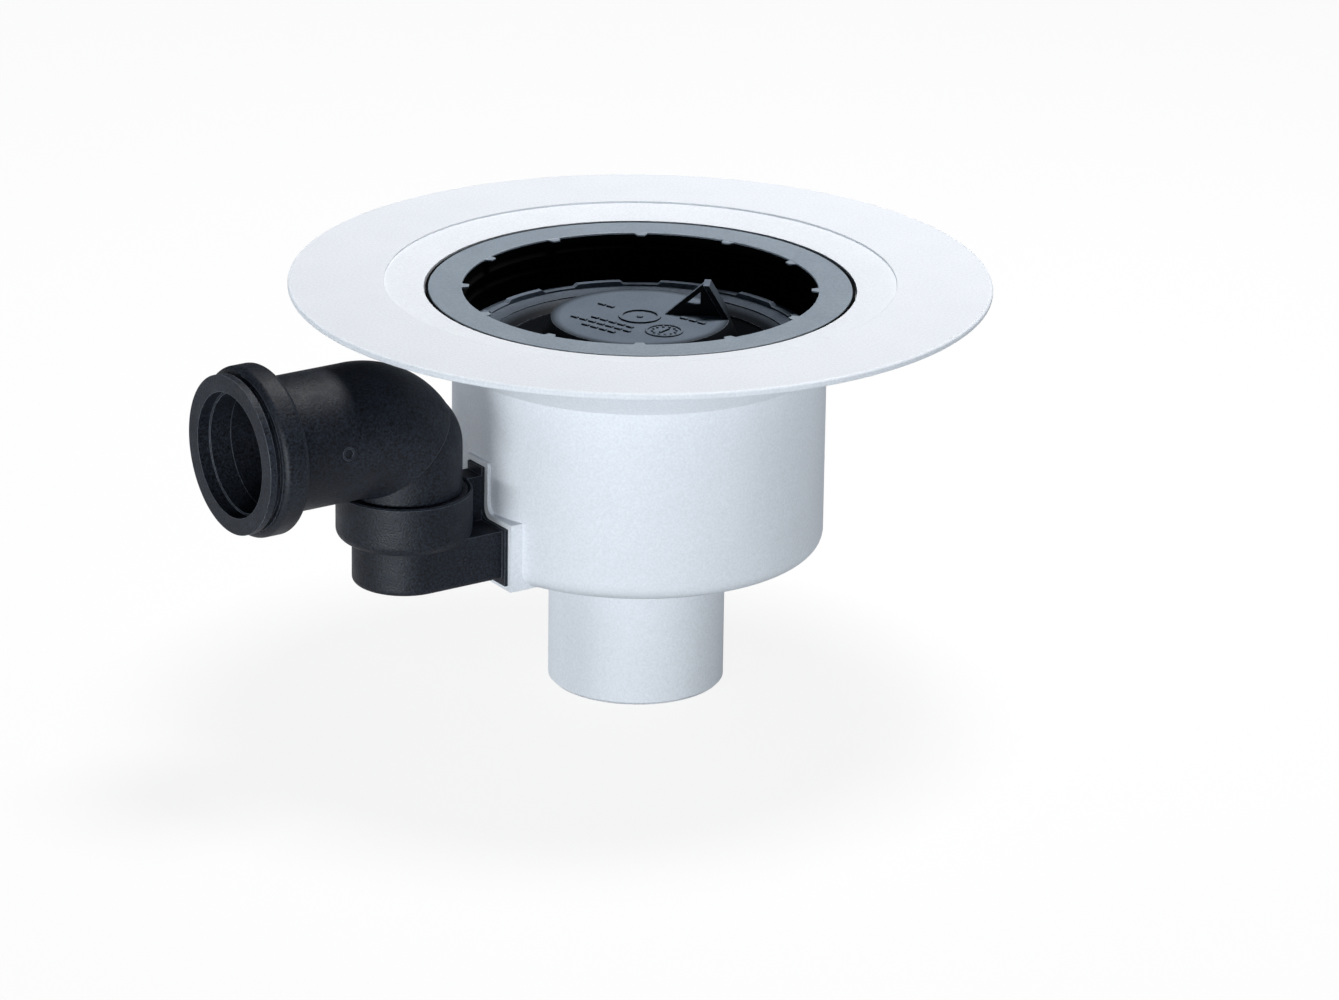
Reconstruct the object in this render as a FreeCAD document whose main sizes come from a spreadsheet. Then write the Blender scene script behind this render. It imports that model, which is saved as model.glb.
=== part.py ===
# Floor drain with an odour trap, a plug-in side inlet and an outlet spigot for a 75 mm pipe.
# Millimetres. Origin at the centre of the spigot's lower end, +Z up, +X towards the side inlet.
import FreeCAD, Part
import Sketcher
import math
import os
from FreeCAD import Placement, Rotation, Vector

doc = FreeCAD.newDocument("floor_drain")

# Driving dimensions
DRIVING_SIZES = (
    # Outlet spigot and pot
    ("spigot_outer_radius", 37.5),
    ("spigot_wall", 2.8),
    ("spigot_bevel", 1.2),
    ("pot_outer_radius", 79),
    ("pot_wall", 3),
    ("pot_floor", 3.5),
    ("pot_bottom_round", 7),
    ("pot_floor_round", 4),
    # Floor flange and the flare that holds the mouth seal
    ("drain_height", 178),
    ("flange_radius", 148),
    ("flange_thickness", 3),
    ("flange_rim_round", 1.2),
    ("recess_spread", 16.7),
    ("flange_recess_depth", 0.8),
    ("dish_depth", 3.6),
    ("flare_depth", 33),
    ("flare_cover", 10),
    ("flare_height", 26),
    ("flare_wall", 3.7),
    ("shoulder_spread", 18),
    # Clamp ring in the mouth
    ("ring_overhang", 10.2),
    ("ring_width", 14.2),
    ("ring_thickness", 2.6),
    ("ring_depth", 3.7),
    ("ring_edge_bevel", 0.3),
    ("ring_gap", 1.8),
    ("ring_ledge", 4),
    ("ring_lip_thickness", 0.9),
    ("ring_lip_width", 4.5),
    ("nub_reach", 3),
    ("nub_root_width", 5.6),
    ("nub_tip_width", 3.2),
    ("nub_count", 12),
    # Rubber seal under the ring
    ("seal_setback", 0.4),
    ("seal_ledge_depth", 23.5),
    ("seal_skirt", 2.7),
    ("seal_lip_reach", 1.3),
    ("seal_lip_height", 3),
    ("seal_flap", 1),
    ("seal_lining", 1),
    ("seal_lining_drop", 0.4),
    # Funnel of the trap
    ("funnel_ledge_depth", 28),
    ("funnel_ledge_width", 1.5),
    ("funnel_wall", 1.8),
    ("funnel_rim_clearance", 3.6),
    ("funnel_rim_width", 2.6),
    ("funnel_rim_height", 2.2),
    ("funnel_step_width", 5),
    ("funnel_step_drop", 1.2),
    ("funnel_step_edge", 0.5),
    ("funnel_dish_drop", 24),
    ("funnel_tube_radius", 50),
    ("funnel_tube_length", 46),
    ("funnel_slot_width", 18),
    ("funnel_slot_depth", 1.3),
    ("funnel_slot_slant", 1.8),
    # Bell of the trap
    ("bell_radius", 42),
    ("bell_wall", 2),
    ("bell_edge_width", 4.5),
    ("bell_edge_height", 9),
    ("bell_top_depth", 17),
    ("bell_skirt_clearance", 9.5),
    ("bell_rib_thickness", 2),
    ("bell_rib_count", 4),
    ("bell_rib_overlap", 10),
    ("bell_boss_radius", 9),
    ("bell_boss_width", 1.6),
    ("bell_boss_height", 0.8),
    ("handle_height", 14.5),
    ("handle_boss_gap", 1),
    ("handle_lean", 11.2),
    ("handle_thickness", 2.2),
    ("handle_offset", 5.5),
    ("handle_edge", 2.6),
    ("handle_flange_width", 9),
    # Standpipe of the trap
    ("standpipe_radius", 26),
    ("standpipe_wall", 2.5),
    ("standpipe_rim_depth", 68),
    ("standpipe_flange_overlap", 2.5),
    ("standpipe_flange", 3),
    ("standpipe_sleeve_length", 20),
    ("standpipe_sleeve_wall", 4.2),
    ("o_ring_section_radius", 1.5),
    ("o_ring_groove_depth", 2.9),
    # Side inlet: boss on the pot and chamber
    ("boss_stand", 1.2),
    ("boss_root_depth", 22),
    ("lip_thickness", 1.5),
    ("lip_margin", 2.2),
    ("lip_drop", 2.4),
    ("lip_rise", 1.1),
    ("stem_half_width", 5.5),
    ("stem_rise", 3.6),
    ("weld_rim", 2.3),
    ("tee_round", 4),
    ("cup_radius", 21.8),
    ("cup_lift", 4),
    ("chamber_height", 21.5),
    ("chamber_wall", 2.5),
    ("chamber_round", 2.2),
    # Socket collar on the chamber
    ("collar_standoff", 7.4),
    ("collar_margin", 4.3),
    ("collar_height", 21.5),
    ("collar_overlap", 2),
    ("collar_floor", 2.5),
    ("collar_round", 4.5),
    ("collar_wall", 2.8),
    ("collar_seat_wall", 1.5),
    ("collar_seal_height", 8.3),
    ("collar_rim_bevel", 0.7),
    # Plug-in elbow
    ("elbow_head_room", 10.5),
    ("elbow_sink", 0.1),
    ("elbow_spigot_radius", 24.2),
    ("elbow_wall", 2.6),
    ("elbow_leg_wall", 3.1),
    ("elbow_corner_radius", 1),
    ("elbow_crown", 0.9),
    ("elbow_throat_rise", 19),
    ("elbow_reach", 83),
    ("inlet_bore_radius", 25.2),
    ("inlet_bore_length", 34.5),
    ("bead_rise", 10.5),
    ("bead_width", 11.7),
    ("bead_wall", 2.7),
    ("bead_round", 2.6),
    # Rubber ring in the elbow's mouth
    ("socket_seal_rim_rise", 8.1),
    ("socket_seal_rim", 3),
    ("socket_seal_neck_rise", 5.8),
    ("socket_seal_neck", 3),
    ("socket_seal_lip", 1),
    ("socket_seal_lip_depth", 5.5),
    # Clearances
    ("seat_clearance", 0.3),
    ("press_clearance", 0.1),
    ("cut_margin", 5),
)

# Turns about +Z, in degrees
TRAP_PHASE = -3.5
HANDLE_TURN = 141.5

sheet = doc.addObject("Spreadsheet::Sheet", "Sizes")
for row, (alias, number) in enumerate(DRIVING_SIZES, start=1):
    sheet.set(f"A{row}", alias)
    sheet.set(f"B{row}", str(number))
    sheet.setAlias(f"B{row}", alias)
doc.recompute()


class Length:
    """A size with its number and the expression that ties it to the sheet."""

    def __init__(self, number, text):
        self.number = float(number)
        self.text = text

    def join(self, other, sign, number):
        return Length(number, f"({self.text} {sign} {as_length(other).text})")

    def __add__(self, other):
        return self.join(other, "+", self.number + as_length(other).number)

    def __sub__(self, other):
        return self.join(other, "-", self.number - as_length(other).number)

    def __mul__(self, other):
        return self.join(other, "*", self.number * as_length(other).number)

    def __truediv__(self, other):
        return self.join(other, "/", self.number / as_length(other).number)

    def __neg__(self):
        return Length(-self.number, f"(0 - {self.text})")


def as_length(item):
    if isinstance(item, Length):
        return item
    return Length(item, str(item))


def size(alias):
    return Length(sheet.get(alias), f"Sizes.{alias}")


def bind(owner, prop, length):
    """Set a property's number and tie it to the sheet."""
    owner.setExpression(prop, as_length(length).text)


# Sketch helpers
def new_body(label):
    body = doc.addObject("PartDesign::Body", label)
    body.Label = label
    return body


def origin_feature(body, role):
    return next(item for item in body.Origin.OriginFeatures if item.Role == role)


def new_sketch(body, name, plane, offset=None, lift=None, turn=0):
    """Sketch on an origin plane, moved along the plane's normal (offset) or its own y axis (lift)."""
    sketch = body.newObject("Sketcher::SketchObject", name)
    sketch.AttachmentSupport = [(origin_feature(body, plane), "")]
    sketch.MapMode = "FlatFace"
    base = Vector(0, as_length(lift or 0).number, as_length(offset or 0).number)
    sketch.AttachmentOffset = Placement(base, Rotation(Vector(1, 0, 0), turn))
    if offset is not None:
        bind(sketch, "AttachmentOffset.Base.z", offset)
    if lift is not None:
        bind(sketch, "AttachmentOffset.Base.y", lift)
    return sketch


def pin_coordinate(sketch, kind, geometry, point, length):
    """Hold one coordinate of a sketch point at a length from the sketch's origin."""
    length = as_length(length)
    axis = -2 if kind == "DistanceX" else -1
    if length.number == 0:
        sketch.addConstraint(Sketcher.Constraint("PointOnObject", geometry, point, axis))
        return
    ends = (-1, 1, geometry, point) if length.number > 0 else (geometry, point, -1, 1)
    held = length if length.number > 0 else -length
    index = sketch.addConstraint(Sketcher.Constraint(kind, *ends, held.number))
    bind(sketch, f"Constraints[{index}]", held)


def pin_point(sketch, geometry, point, place):
    pin_coordinate(sketch, "DistanceX", geometry, point, place[0])
    pin_coordinate(sketch, "DistanceY", geometry, point, place[1])


def numbers(place):
    return Vector(as_length(place[0]).number, as_length(place[1]).number, 0)


def arc_between(start, end, radius, turn):
    """Short arc from start to end; turn is 1 for counter-clockwise and -1 for clockwise."""
    middle = (start + end) * 0.5
    half = (end - start).Length / 2
    rise = math.sqrt(max(radius * radius - half * half, 0))
    along = (end - start).normalize()
    centre = middle + Vector(-along.y, along.x, 0) * rise * turn
    first, last = (start, end) if turn > 0 else (end, start)
    angles = [math.atan2(spot.y - centre.y, spot.x - centre.x) for spot in (first, last)]
    if angles[1] < angles[0]:
        angles[1] += 2 * math.pi
    return Part.ArcOfCircle(Part.Circle(centre, Vector(0, 0, 1), radius), *angles)


def draw_outline(sketch, places, arcs=None):
    """Closed outline through places; arcs gives (radius, turn) for the edge after a place."""
    arcs = arcs or {}
    ends = []
    count = len(places)
    for index in range(count):
        start, end = numbers(places[index]), numbers(places[(index + 1) % count])
        if index in arcs:
            radius, turn = arcs[index]
            edge = sketch.addGeometry(arc_between(start, end, as_length(radius).number, turn), False)
            ends.append((edge, 1, 2) if turn > 0 else (edge, 2, 1))
        else:
            edge = sketch.addGeometry(Part.LineSegment(start, end), False)
            ends.append((edge, 1, 2))
    for index in range(count):
        edge, first, last = ends[index]
        following, following_first, _ = ends[(index + 1) % count]
        sketch.addConstraint(Sketcher.Constraint("Coincident", edge, last, following, following_first))
        pin_point(sketch, edge, first, places[index])
        if index in arcs:
            held = sketch.addConstraint(Sketcher.Constraint("Radius", edge, as_length(arcs[index][0]).number))
            bind(sketch, f"Constraints[{held}]", arcs[index][0])


def draw_circle(sketch, centre, radius):
    radius = as_length(radius)
    edge = sketch.addGeometry(Part.Circle(numbers(centre), Vector(0, 0, 1), radius.number), False)
    pin_point(sketch, edge, 3, centre)
    held = sketch.addConstraint(Sketcher.Constraint("Radius", edge, radius.number))
    bind(sketch, f"Constraints[{held}]", radius)


def draw_axis(sketch, start, end):
    """Construction line that a turned feature goes round."""
    edge = sketch.addGeometry(Part.LineSegment(numbers(start), numbers(end)), True)
    pin_point(sketch, edge, 1, start)
    pin_point(sketch, edge, 2, end)


# Feature helpers
def turned(body, name, places, arcs=None, axis=None, cut=False):
    """Turn an outline in the XZ plane about Z, or about a given line."""
    sketch = new_sketch(body, name + "_outline", "XZ_Plane")
    draw_outline(sketch, places, arcs)
    if axis:
        draw_axis(sketch, *axis)
    kind = "PartDesign::Groove" if cut else "PartDesign::Revolution"
    feature = body.newObject(kind, name)
    feature.Profile = sketch
    feature.ReferenceAxis = (sketch, ["Axis0" if axis else "V_Axis"])
    feature.Angle = 360
    return feature


def padded(body, name, sketch, length, backwards=False, both_ways=False):
    feature = body.newObject("PartDesign::Pad", name)
    feature.Profile = sketch
    bind(feature, "Length", length)
    feature.Reversed = backwards
    feature.Midplane = both_ways
    return feature


def pocketed(body, name, sketch, length, backwards=False):
    feature = body.newObject("PartDesign::Pocket", name)
    feature.Profile = sketch
    bind(feature, "Length", length)
    feature.Reversed = backwards
    return feature


def repeated(body, name, feature, count_alias):
    pattern = body.newObject("PartDesign::PolarPattern", name)
    pattern.Originals = [feature]
    pattern.Axis = (origin_feature(body, "Z_Axis"), [""])
    pattern.Angle = 360
    bind(pattern, "Occurrences", size(count_alias))
    body.Tip = pattern
    return pattern


def turn_body(body, degrees):
    body.Placement = Placement(Vector(0, 0, 0), Rotation(Vector(0, 0, 1), degrees))


# Radii that several pieces share, outwards from the pot and from the inlet's bore
spigot_inner = size("spigot_outer_radius") - size("spigot_wall")
pot_outer = size("pot_outer_radius")
pot_inner = pot_outer - size("pot_wall")
funnel_ledge_radius = pot_inner + size("funnel_ledge_width")
ring_outer = pot_outer + size("ring_overhang")
ring_inner = ring_outer - size("ring_width")
ring_lip_root = ring_inner + size("ring_lip_width")
ring_seat_radius = ring_outer + size("ring_gap")
seal_seat_radius = ring_seat_radius - size("ring_ledge")
seal_inner = ring_inner + size("seal_setback")
flare_radius = seal_seat_radius + size("flare_cover")
elbow_flow_radius = size("elbow_spigot_radius") - size("elbow_wall")
elbow_leg_radius = size("inlet_bore_radius") + size("elbow_leg_wall")
bead_radius = size("inlet_bore_radius") + size("bead_rise")
collar_radius = size("elbow_spigot_radius") + size("collar_margin")
collar_bore = collar_radius - size("collar_wall")
collar_seat_radius = collar_radius - size("collar_seat_wall")
cup_radius = size("cup_radius")
tunnel_half_width = cup_radius - size("chamber_wall")

# The side inlet stacks up under the flange, which sets how deep the pot is
elbow_rise = elbow_leg_radius + size("elbow_corner_radius") - size("elbow_sink")
collar_rise = size("cup_lift") + size("chamber_height") - size("collar_overlap") + size("collar_height")
pot_depth = collar_rise + elbow_rise + elbow_leg_radius + size("elbow_head_room") + size("flange_thickness")

# Levels that several pieces share
flange_top = size("drain_height")
flange_bottom = flange_top - size("flange_thickness")
pot_bottom = flange_top - pot_depth
floor_top = pot_bottom + size("pot_floor")
flare_bottom = flange_top - size("flare_depth")
flare_top = flare_bottom + size("flare_height")
flare_slope = (flare_radius - pot_outer) / size("flare_height")
ring_top = flange_top - size("ring_depth")
ring_bottom = ring_top - size("ring_thickness")
ring_lip_bottom = ring_top - size("ring_lip_thickness")
ring_ledge = ring_bottom - size("seal_flap")
seal_ledge = flange_top - size("seal_ledge_depth")
funnel_ledge = flange_top - size("funnel_ledge_depth")
standpipe_rim = flange_top - size("standpipe_rim_depth")
cup_bottom = pot_bottom + size("cup_lift")
chamber_top = cup_bottom + size("chamber_height")
tunnel_bottom = cup_bottom + size("chamber_wall")
tunnel_top = chamber_top - size("chamber_wall")
collar_bottom = chamber_top - size("collar_overlap")
collar_top = collar_bottom + size("collar_height")
collar_floor = collar_bottom + size("collar_floor")
collar_seat = collar_top - size("collar_rim_bevel") - size("collar_seal_height")
lip_bottom = cup_bottom - size("lip_drop")
lip_shoulder = chamber_top + size("lip_rise")
stem_top = collar_top + size("stem_rise")
elbow_axis = collar_top + elbow_rise
elbow_spigot_end = collar_floor + size("seat_clearance")
elbow_corner_z = elbow_axis - elbow_leg_radius - size("elbow_corner_radius")

# Places along the inlet, away from the drain's own axis
boss_reach = pot_outer + size("boss_stand")
cup_distance = boss_reach + size("collar_standoff") + collar_radius
elbow_corner_x = cup_distance + size("elbow_spigot_radius") + size("elbow_corner_radius")
elbow_mouth = cup_distance + size("elbow_reach")
elbow_front = elbow_mouth - size("socket_seal_rim") - size("socket_seal_neck")
bead_back = elbow_front - size("bead_width")
socket_seal_back = bead_back + size("bead_wall")
inlet_stop = socket_seal_back - size("inlet_bore_length")


def flare_inside(level):
    """Inner radius of the flare's cone at a level."""
    return pot_outer + (level - flare_bottom) * flare_slope - size("flare_wall")


# Level where the cone inside the flare reaches the upright wall under the ring
seal_seat_rise = (seal_seat_radius + size("flare_wall") - pot_outer) / flare_slope
seal_seat_level = flare_bottom + seal_seat_rise


def upright_axis(distance):
    """Vertical line in the XZ plane at a distance from the drain's own axis."""
    return ((distance, 0), (distance, flange_top))


LEG_AXIS = ((cup_distance, elbow_axis), (elbow_mouth, elbow_axis))


def tee_outline(sketch, margin):
    """Upside-down T of the inlet's lip, grown by a margin on every side."""
    wide = cup_radius + size("lip_margin") + margin
    slim = size("stem_half_width") + margin
    low = lip_bottom - margin
    shoulder = lip_shoulder + margin
    high = stem_top + margin
    rounding = size("tee_round")
    places = [
        (-wide, low), (wide, low), (wide, shoulder),
        (slim + rounding, shoulder), (slim, shoulder + rounding), (slim, high),
        (-slim, high), (-slim, shoulder + rounding), (-slim - rounding, shoulder), (-wide, shoulder),
    ]
    draw_outline(sketch, places, {3: (rounding, -1), 7: (rounding, -1)})


def make_drain_body():
    """White moulding: flange, flare, pot, outlet spigot and the boss for the side inlet."""
    body = new_body("drain_body")
    outer = size("spigot_outer_radius")
    bevel = size("spigot_bevel")
    low_round = size("pot_bottom_round")
    rim = size("flange_rim_round")
    rim_inner = size("flange_radius") - rim
    dish = flange_top - size("dish_depth")
    recess = ring_seat_radius + size("recess_spread")
    shoulder = ring_seat_radius + size("shoulder_spread")
    places = [
        (0, 0), (outer - bevel, 0), (outer, bevel), (outer, pot_bottom), (pot_outer - low_round, pot_bottom),
        (pot_outer, pot_bottom + low_round), (pot_outer, flare_bottom), (flare_radius, flare_top),
        (shoulder, flange_bottom), (rim_inner, flange_bottom),
        (size("flange_radius"), flange_bottom + rim), (size("flange_radius"), flange_top - rim),
        (rim_inner, flange_top), (recess, flange_top), (recess, flange_top - size("flange_recess_depth")),
        (ring_seat_radius, dish), (0, dish),
    ]
    turned(body, "body_outside", places, {4: (low_round, 1), 9: (rim, 1), 11: (rim, 1)})

    boss = new_sketch(body, "boss_outline", "YZ_Plane", offset=boss_reach)
    tee_outline(boss, size("weld_rim"))
    padded(body, "inlet_boss", boss, size("boss_root_depth"), backwards=True)

    margin = size("cut_margin")
    inner_round = size("pot_floor_round")
    places = [
        (0, -margin), (spigot_inner, -margin), (spigot_inner, floor_top),
        (pot_inner - inner_round, floor_top), (pot_inner, floor_top + inner_round),
        (pot_inner, funnel_ledge), (funnel_ledge_radius, funnel_ledge),
        (funnel_ledge_radius, seal_ledge), (flare_inside(seal_ledge), seal_ledge),
        (seal_seat_radius, seal_seat_level), (seal_seat_radius, ring_ledge), (ring_seat_radius, ring_ledge),
        (ring_seat_radius, flange_top + margin), (0, flange_top + margin),
    ]
    turned(body, "body_inside", places, {3: (inner_round, 1)}, cut=True)

    window = new_sketch(body, "window_outline", "YZ_Plane", offset=boss_reach)
    draw_outline(window, tunnel_section())
    pocketed(body, "inlet_window", window, size("boss_root_depth"))
    return body


def tunnel_section():
    """Clear section of the tunnel from the inlet chamber into the pot."""
    wide = tunnel_half_width
    return [(-wide, tunnel_bottom), (wide, tunnel_bottom), (wide, tunnel_top), (-wide, tunnel_top)]


def make_seal_clamp_ring():
    """Grey ring in the mouth, with a thin inner lip that has small nubs on its edge."""
    body = new_body("seal_clamp_ring")
    bevel = size("ring_edge_bevel")
    places = [
        (ring_lip_root, ring_bottom), (ring_outer, ring_bottom), (ring_outer, ring_top - bevel),
        (ring_outer - bevel, ring_top), (ring_inner + bevel, ring_top), (ring_inner, ring_top - bevel),
        (ring_inner, ring_lip_bottom), (ring_lip_root, ring_lip_bottom),
    ]
    turned(body, "ring", places)
    tip_half = size("nub_tip_width") / 2
    root_half = size("nub_root_width") / 2
    sketch = new_sketch(body, "nub_outline", "XY_Plane", offset=ring_lip_bottom)
    tip = ring_inner - size("nub_reach")
    root = ring_inner + bevel
    draw_outline(sketch, [(tip, -tip_half), (root, -root_half), (root, root_half), (tip, tip_half)])
    nub = padded(body, "nub", sketch, size("ring_lip_thickness") - bevel)
    repeated(body, "nubs", nub, "nub_count")
    turn_body(body, TRAP_PHASE)
    return body


# Heights of the seal's two lips, as shares of its height
SEAL_LIP_LEVELS = (0.7, 0.35)


def make_mouth_seal():
    """Black rubber seal in the flare: lips for a riser inside, and a channel that holds the ring's edge."""
    body = new_body("mouth_seal")
    gap = size("seat_clearance")
    lip = seal_inner - size("seal_lip_reach")
    half = size("seal_lip_height") / 2
    skirt_outer = funnel_ledge_radius - gap
    upper = ring_lip_bottom - gap
    step = ring_lip_root - gap
    lining_inner = ring_outer + size("press_clearance")
    lining_outer = lining_inner + size("seal_lining")
    lining_top = ring_top - size("seal_lining_drop")
    room = upper - seal_ledge
    places = [
        (seal_inner, seal_ledge - size("seal_skirt")), (skirt_outer, seal_ledge - size("seal_skirt")),
        (skirt_outer, seal_ledge), (flare_inside(seal_ledge) - gap, seal_ledge),
        (seal_seat_radius - gap, seal_seat_level), (seal_seat_radius - gap, ring_ledge),
        (lining_outer, ring_ledge), (lining_outer, lining_top), (lining_inner, lining_top),
        (lining_inner, ring_bottom), (step, ring_bottom), (step, upper), (seal_inner, upper),
    ]
    for share in SEAL_LIP_LEVELS:
        level = seal_ledge + room * share
        places += [(seal_inner, level + half), (lip, level), (seal_inner, level - half)]
    turned(body, "seal", places)
    return body


def make_trap_funnel():
    """Grey dish with a castellated rim and a dip tube, hung on a ledge in the pot."""
    body = new_body("trap_funnel")
    wall = size("funnel_wall")
    rim = seal_inner - size("funnel_rim_clearance")
    rim_inner = rim - size("funnel_rim_width")
    flange = funnel_ledge_radius - size("seat_clearance")
    base = funnel_ledge + wall
    step = size("funnel_step_width")
    drop = size("funnel_step_drop")
    edge = size("funnel_step_edge")
    tube = size("funnel_tube_radius")
    dish_low = base - size("funnel_dish_drop")
    tube_low = dish_low - size("funnel_tube_length")
    underside = pot_inner - size("seat_clearance") - wall
    places = [
        (tube, tube_low), (tube, dish_low - wall), (underside, funnel_ledge), (flange, funnel_ledge),
        (flange, base), (rim, base), (rim, base + size("funnel_rim_height")),
        (rim_inner, base + size("funnel_rim_height")), (rim_inner, base),
        (rim_inner - step, base - drop), (rim_inner - step, base - drop - edge),
        (rim_inner - step * 2, base - drop * 4), (rim_inner - step * 2, base - drop * 4 - edge),
        (tube - wall, dish_low), (tube - wall, tube_low),
    ]
    turned(body, "funnel", places)

    half = size("funnel_slot_width") / 2
    foot = half - size("funnel_slot_slant")
    rim_top = base + size("funnel_rim_height")
    slot_low = rim_top - size("funnel_slot_depth")
    above = rim_top + size("cut_margin")
    sketch = new_sketch(body, "slot_outline", "YZ_Plane", offset=rim_inner - wall)
    draw_outline(sketch, [
        (-foot, slot_low), (foot, slot_low), (half, rim_top), (half, above), (-half, above), (-half, rim_top),
    ])
    slot = pocketed(body, "rim_slot", sketch, size("funnel_rim_width") + wall * 2, backwards=True)
    repeated(body, "rim_slots", slot, "nub_count")
    turn_body(body, TRAP_PHASE)
    return body


def make_trap_bell():
    """Grey bell over the standpipe, with a pull handle on its cap and ribs inside."""
    body = new_body("trap_bell")
    outer = size("bell_radius")
    wall = size("bell_wall")
    shoulder = outer - size("bell_edge_width")
    top = flange_top - size("bell_top_depth")
    shoulder_low = top - size("bell_edge_height")
    low = floor_top + size("bell_skirt_clearance")
    inner = outer - wall
    ceiling = top - wall
    places = [
        (inner, low), (outer, low), (outer, shoulder_low), (shoulder, top), (0, top),
        (0, ceiling), (shoulder - wall / 2, ceiling), (inner, shoulder_low),
    ]
    turned(body, "bell", places)

    boss = size("bell_boss_radius")
    boss_inner = boss - size("bell_boss_width")
    raised = top + size("bell_boss_height")
    turned(body, "cap_ring", [(boss_inner, ceiling), (boss, ceiling), (boss, raised), (boss_inner, raised)])

    pipe = size("standpipe_radius")
    rib_inner = pipe - size("standpipe_wall") * 2
    guide = pipe + size("seat_clearance")
    rib_root = outer - wall / 2
    rib_low = standpipe_rim - size("bell_rib_overlap")
    sketch = new_sketch(body, "rib_outline", "XZ_Plane")
    draw_outline(sketch, [
        (rib_inner, standpipe_rim), (guide, standpipe_rim), (guide, rib_low), (rib_root, rib_low),
        (rib_root, shoulder_low), (shoulder, ceiling + wall / 2), (rib_inner, ceiling + wall / 2),
    ])
    rib = padded(body, "rib", sketch, size("bell_rib_thickness"), both_ways=True)
    repeated(body, "ribs", rib, "bell_rib_count")

    start = boss + size("handle_boss_gap")
    peak = shoulder - size("handle_lean")
    frame = size("handle_edge")
    high = top + size("handle_height")
    root = top - wall / 2
    # The outer edge leans from the cap's rim to the peak
    lean = (shoulder - peak - frame) / size("handle_height")
    sketch = new_sketch(body, "handle_outline", "XZ_Plane", offset=-size("handle_offset"))
    draw_outline(sketch, [
        (start, root), (shoulder, root), (shoulder, top), (peak + frame, high), (peak, high), (start, top),
    ])
    window_low = top + frame * 2
    window_high = high - frame * 1.5
    window_right = peak - frame / 2
    window_left = window_right - (window_high - window_low) * (peak - start) / size("handle_height")
    draw_outline(sketch, [(window_left, window_low), (window_right, window_low), (window_right, window_high)])
    padded(body, "handle", sketch, size("handle_thickness"), both_ways=True)

    sketch = new_sketch(body, "handle_flange_outline", "XZ_Plane", offset=-size("handle_offset"))
    draw_outline(sketch, [
        (shoulder - frame, root), (shoulder, root), (shoulder, top), (peak + frame, high), (peak, high),
        (peak + lean * frame, high - frame), (shoulder - frame, top),
    ])
    body.Tip = padded(body, "handle_flange", sketch, size("handle_flange_width"), both_ways=True)
    turn_body(body, HANDLE_TURN)
    return body


def make_standpipe():
    """Overflow pipe that sets the water level, plugged into the outlet."""
    body = new_body("standpipe")
    outer = size("standpipe_radius")
    inner = outer - size("standpipe_wall")
    sleeve = spigot_inner - size("seat_clearance")
    sleeve_inner = sleeve - size("standpipe_sleeve_wall")
    low = floor_top - size("standpipe_sleeve_length")
    flange = spigot_inner + size("standpipe_flange_overlap")
    flange_high = floor_top + size("standpipe_flange")
    groove_half = size("o_ring_section_radius") + size("press_clearance")
    groove_middle = o_ring_level()
    groove_radius = sleeve - size("o_ring_groove_depth")
    places = [
        (sleeve_inner, low), (sleeve, low), (sleeve, groove_middle - groove_half),
        (groove_radius, groove_middle - groove_half), (groove_radius, groove_middle + groove_half),
        (sleeve, groove_middle + groove_half), (sleeve, floor_top), (flange, floor_top),
        (flange, flange_high), (outer, flange_high), (outer, standpipe_rim),
        (inner, standpipe_rim), (inner, flange_high), (sleeve_inner, floor_top - size("standpipe_flange")),
    ]
    turned(body, "pipe", places)
    return body


def o_ring_level():
    return floor_top - size("standpipe_sleeve_length") / 2


def make_standpipe_o_ring():
    """Rubber ring that seals the standpipe in the outlet."""
    body = new_body("standpipe_o_ring")
    section = size("o_ring_section_radius")
    sketch = new_sketch(body, "section_outline", "XZ_Plane")
    draw_circle(sketch, (spigot_inner - size("press_clearance") - section, o_ring_level()), section)
    feature = body.newObject("PartDesign::Revolution", "ring")
    feature.Profile = sketch
    feature.ReferenceAxis = (sketch, ["V_Axis"])
    feature.Angle = 360
    return body


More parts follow.
